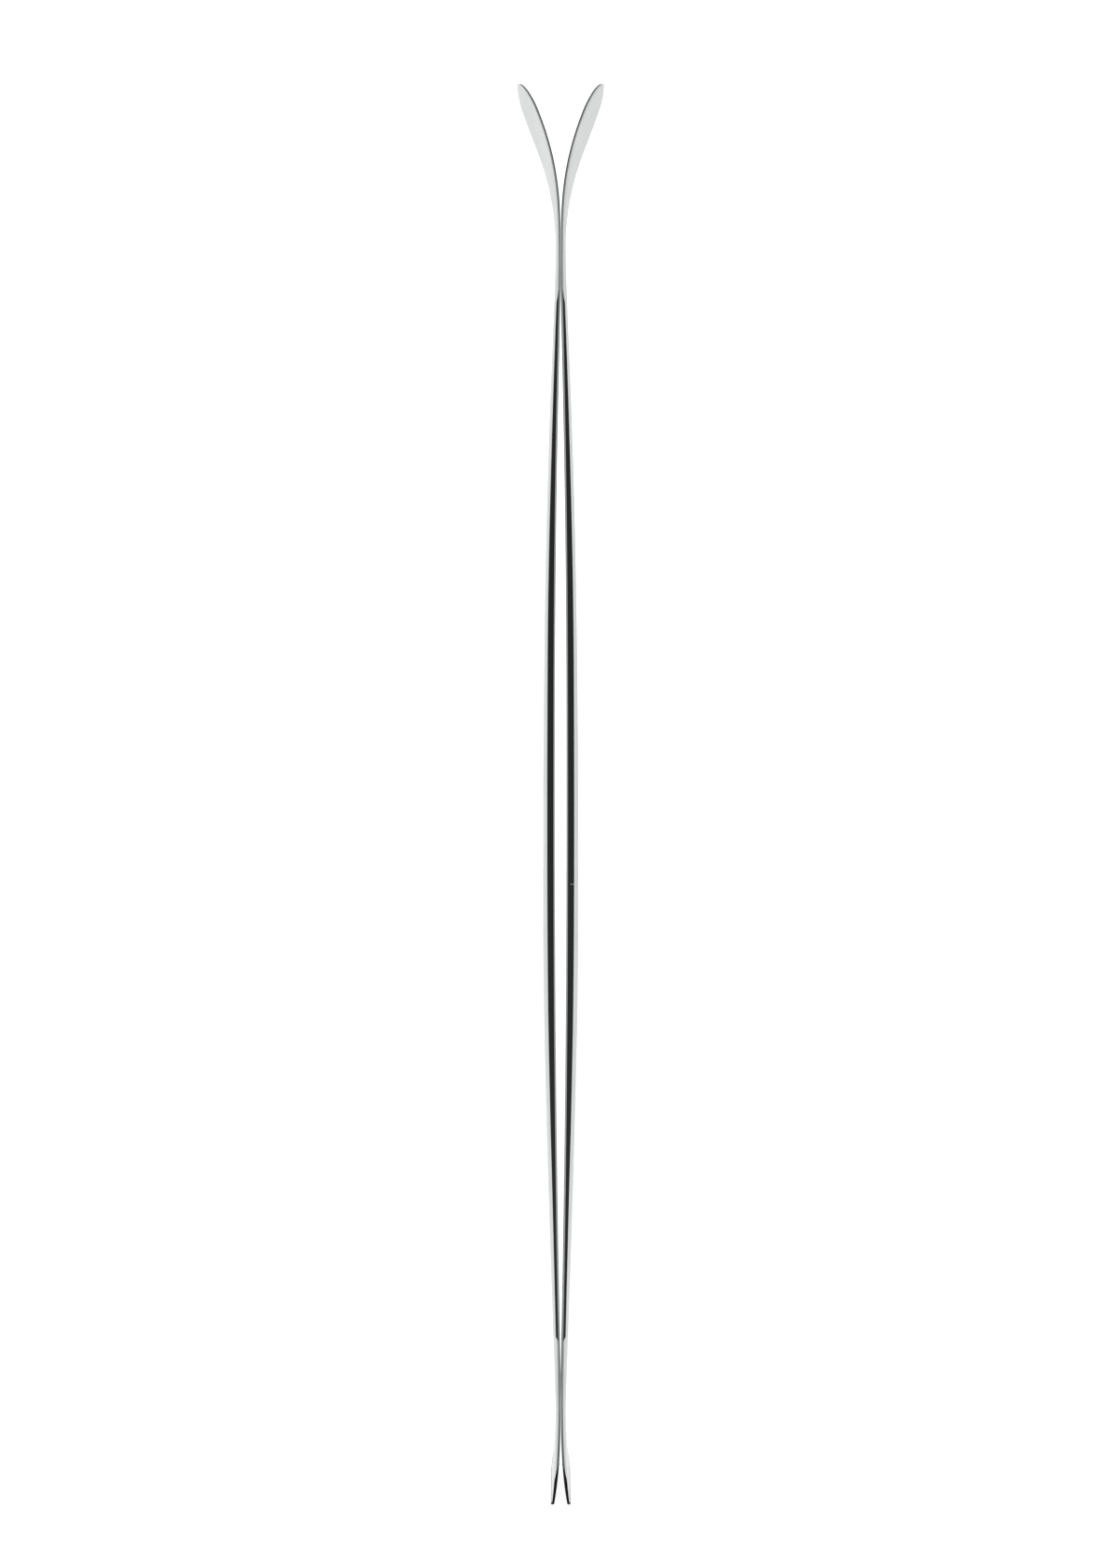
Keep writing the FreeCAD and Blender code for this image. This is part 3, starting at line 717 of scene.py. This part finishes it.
layers = {
    "base_sole": (base_start, base_z, sole_bottom, lambda z: BASE_THICK,
                  None, sole_section, base_pe, "running_base"),
    "lower_laminate": (glass_start, base_z, lambda z: max(BASE_THICK, tail_cap_top(z)),
                       lambda z: GLASS_TOP, None, sheet_section, glass_epoxy, "glass_sheet"),
    "marked_sidewall": (*wall_ends, lambda z: GLASS_TOP, wall_top, None, marked_wall_section, wall_abs,
                        "sidewall"),
    "plain_sidewall": (*wall_ends, lambda z: GLASS_TOP, wall_top, None, plain_wall_section, wall_abs,
                       "sidewall"),
    "tail_filler": (filler_start, rear_fill, filler_bottom, lambda z: FILLER_TOP, None, sheet_section,
                    filler_abs, "spacer"),
    "tip_filler": (front_fill, tip_z, filler_bottom, lambda z: FILLER_TOP, None, sheet_section,
                   filler_abs, "spacer"),
    "topsheet_cap": (tail_z, tip_z, cap_bottom, total, bevel_height, cap_section, cap_lacquer,
                     "cap_white"),
}
for node, (start, end, low, high, shoulder, outline, finish, slot) in layers.items():
    rows = stations(node + " stations", start, end, low, high, shoulder)
    mesh = swept_layer(node, rows, outline, finish)
    on_both_skis(node, mesh)
    print(node, len(mesh.polygons), "faces")

# %% [markdown]
# ## Protectors at the ends
#
# The tip and the tail of a ski are knocked about, so each carries a moulded
# end piece.  The one at the tip is pale and thin, and closes the shovel to a
# fine edge.  It sits on the base, which runs on nearly to the point.  The one
# at the tail is black and is let in under the cap along a slant.  Both are
# swept like the layers, and their free ends are rounded by closing the section
# over the last millimetre or so.

# %% Tip and tail protectors
TIP_END_ROUND, TAIL_END_ROUND = 0.6, 1.5


def end_dip(distance, radius):
    """How far a rounded end has closed in, at a distance from its tip."""
    u = min(max(distance / radius, 0.0), 1.0)
    return radius * 0.8 * (1 - math.sqrt(1 - (1 - u) ** 2))


def tip_low(z):
    """The protector sits on the base, which runs on nearly to the point, and then closes it off."""
    return GLASS_TOP if z < BASE_TIP_Z else end_dip(SKI_LENGTH - z, TIP_END_ROUND)


def tip_high(z):
    return total(z) - end_dip(SKI_LENGTH - z, TIP_END_ROUND)


def tail_low(z):
    return end_dip(z, TAIL_END_ROUND)


def tail_high(z):
    """Top of the tail protector: the slant, then close under the skin of the cap."""
    whole = total(z) if z < TAIL_CAP_TOP_Z else tail_cap_top(z)
    return whole - end_dip(z, TAIL_END_ROUND)


ends = {
    "tip_protector": (TIP_CAP_Z, SKI_LENGTH, tip_low, tip_high, lambda z: BEVEL_MIN, end_section,
                      tip_nylon),
    "tail_protector": (0.0, TAIL_CAP_BASE_Z, tail_low, tail_high, None, block_section,
                       protector_nylon),
}
for node, (start, end, low, high, shoulder, outline, finish) in ends.items():
    rows = stations(node + " stations", start, end, low, high, shoulder)
    mesh = swept_layer(node, rows, outline, finish)
    on_both_skis(node, mesh)
    print(node, len(mesh.polygons), "faces")

# %% [markdown]
# ## Balance mark
#
# A short pale bar on one side wall shows the point where the ski balances.
# It is pad printed, so it is a very thin rounded patch that follows the
# crowned wall, and not a cut.

# %% Balance mark
BALANCE_Z, MARK_HEIGHT, MARK_LENGTH, MARK_START = 863.7, 1.6, 4.6, 5.4
INK_THICK, MARK_CORNER = 0.05, 0.5


def mark_outline(width, height, corner, steps=4):
    """A small rectangle with round corners, centred on nothing."""
    points = []
    for index, (sx, sz) in enumerate(((1, 1), (-1, 1), (-1, -1), (1, -1))):
        for i in range(steps + 1):
            angle = math.pi / 2 * (index + i / steps)
            points.append((sx * (width / 2 - corner) + corner * math.cos(angle),
                           sz * (height / 2 - corner) + corner * math.sin(angle)))
    return points


def balance_mark():
    """Thin printed patch on the left hand side wall of the right ski."""
    middle = camber_line(BALANCE_Z) + MARK_START + MARK_LENGTH / 2
    wall = half_width(BALANCE_Z)
    wall_low = camber_line(BALANCE_Z) + GLASS_TOP
    wall_high = camber_line(BALANCE_Z) + wall_top(BALANCE_Z)
    work = bmesh.new()
    rings = []
    for lift in (-INK_THICK, INK_THICK):
        ring = []
        for dx, dz in mark_outline(MARK_LENGTH, MARK_HEIGHT, MARK_CORNER):
            share = 2 * (middle + dx - wall_low) / (wall_high - wall_low) - 1
            surface = wall + CROWN * (1 - share**2)
            ring.append(work.verts.new(Vector((middle + dx, -surface - lift, BALANCE_Z + dz)) * MM))
        rings.append(ring)
    work.faces.new(rings[0])
    work.faces.new(list(reversed(rings[1])))
    count = len(rings[0])
    for i in range(count):
        work.faces.new((rings[0][i], rings[1][i], rings[1][(i + 1) % count], rings[0][(i + 1) % count]))
    bmesh.ops.recalc_face_normals(work, faces=work.faces)
    mesh = bpy.data.meshes.new("right balance mark")
    work.to_mesh(mesh)
    work.free()
    mesh.materials.append(print_ink)
    return mesh


on_both_skis("balance_mark", balance_mark())
print("balance mark", MARK_LENGTH, "x", MARK_HEIGHT, "mm at", BALANCE_Z, "mm from the tail")

# %% [markdown]
# ## The pieces inside
#
# The core, the upper glass sheet and the screw plate are closed in, so the
# CAD pieces are kept as they are.  They still get their own finishes.

# %% Finishes of the inner pieces
inside = {"wood_core": core_wood, "upper_laminate": glass_epoxy, "binding_insert": phenolic}
for side in ("right", "left"):
    for node, finish in inside.items():
        piece = frame["nodes"][side + "_" + node]
        piece.data.materials.clear()
        piece.data.materials.append(finish)
print("inner pieces finished:", sorted(inside))

# %% [markdown]
# ## Floor, light and camera
#
# The skis are shown in soft light from all round, as in a light tent.  A white
# world gives the even base.  The floor could be plain white paper, but that
# turns grey towards the back and shows a horizon.  A sheet of acrylic lit from
# below stays as pale as the tent.  One large lamp above and in front on each
# side draws the broad sheen down the caps, and the left one is stronger.  The
# camera stands close, at half the height of the skis, so the tips are seen a
# little from below and the tails a little from above.

# %% Floor
FLOOR_RADIUS, FLOOR_DROP = 9.0, 0.0006
bpy.ops.mesh.primitive_circle_add(vertices=96, radius=FLOOR_RADIUS, fill_type="NGON",
                                  location=(0.0, 0.0, -FLOOR_DROP))
floor = bpy.context.object
floor.name = "floor"


def lit_acrylic(name, glow):
    """A white acrylic sheet lit from below: an even glow and a little scattered light."""
    material = bpy.data.materials.new(name)
    material.use_nodes = True
    tree = material.node_tree
    tree.nodes.clear()
    place = add(tree, "ShaderNodeTexCoord").outputs["Object"]
    cloud = add(tree, "ShaderNodeTexNoise", {"Vector": place, "Scale": 2.0, "Detail": 1.0})
    tone = add(tree, "ShaderNodeMapRange", {"Value": cloud.outputs["Fac"], "To Min": 0.17, "To Max": 0.19})
    shader = add(tree, "ShaderNodeBsdfPrincipled", {
        "Base Color": tone.outputs[0], "Roughness": 0.8, "Emission Color": (1.0, 1.0, 1.0, 1.0),
        "Emission Strength": glow})
    add(tree, "ShaderNodeOutputMaterial", {"Surface": shader.outputs["BSDF"]})
    return material


floor.data.materials.append(lit_acrylic("white_acrylic_lit_from_below", 0.93))

# %% Light
world = bpy.data.worlds.new("light tent")
scene.world = world
world.use_nodes = True
world.node_tree.nodes.clear()
TENT_LIGHT, TENT_SEEN = 0.82, 1.3
seen = add(world.node_tree, "ShaderNodeLightPath")
strength = add(world.node_tree, "ShaderNodeMapRange", {
    "Value": seen.outputs["Is Camera Ray"], "To Min": TENT_LIGHT, "To Max": TENT_SEEN})
sky = add(world.node_tree, "ShaderNodeBackground", {"Color": (1.0, 1.0, 1.0, 1.0),
                                                    "Strength": strength.outputs[0]})
add(world.node_tree, "ShaderNodeOutputWorld", {"Surface": sky.outputs["Background"]})

lamps = {"left lamp": ((-2.4, -1.2, 2.6), 22.0), "right lamp": ((2.4, -1.2, 2.6), 7.0)}
for name, (spot, power) in lamps.items():
    data = bpy.data.lights.new(name, "AREA")
    data.shape, data.size, data.size_y, data.energy = "RECTANGLE", 1.8, 1.8, power
    lamp = bpy.data.objects.new(name, data)
    lamp.location = spot
    lamp.rotation_euler = (Vector((0.0, 0.0, 1.0)) - Vector(spot)).to_track_quat("-Z", "Y").to_euler()
    scene.collection.objects.link(lamp)
scene.view_settings.view_transform = "Standard"
print("lamps:", {name: power for name, (spot, power) in lamps.items()})

# %% Camera
CAMERA_AWAY, CAMERA_HEIGHT, CAMERA_ASIDE = 1.25, 1.0034, -0.0017
SENSOR_MM, SEEN_HEIGHT = 36.0, 2.2408
camera_data = bpy.data.cameras.new("camera")
camera_data.sensor_width = SENSOR_MM
camera_data.lens = SENSOR_MM * CAMERA_AWAY / SEEN_HEIGHT
camera = bpy.data.objects.new("camera", camera_data)
camera.location = (CAMERA_ASIDE, -CAMERA_AWAY, CAMERA_HEIGHT)
camera.rotation_euler = (math.radians(90.0), 0.0, 0.0)
scene.collection.objects.link(camera)
scene.camera = camera
print("lens", round(camera_data.lens, 2), "mm")

# %% Tidy up the drawing aids
for thing in [o for o in scene.collection.objects if o.name.endswith(" section")]:
    bpy.data.objects.remove(thing)
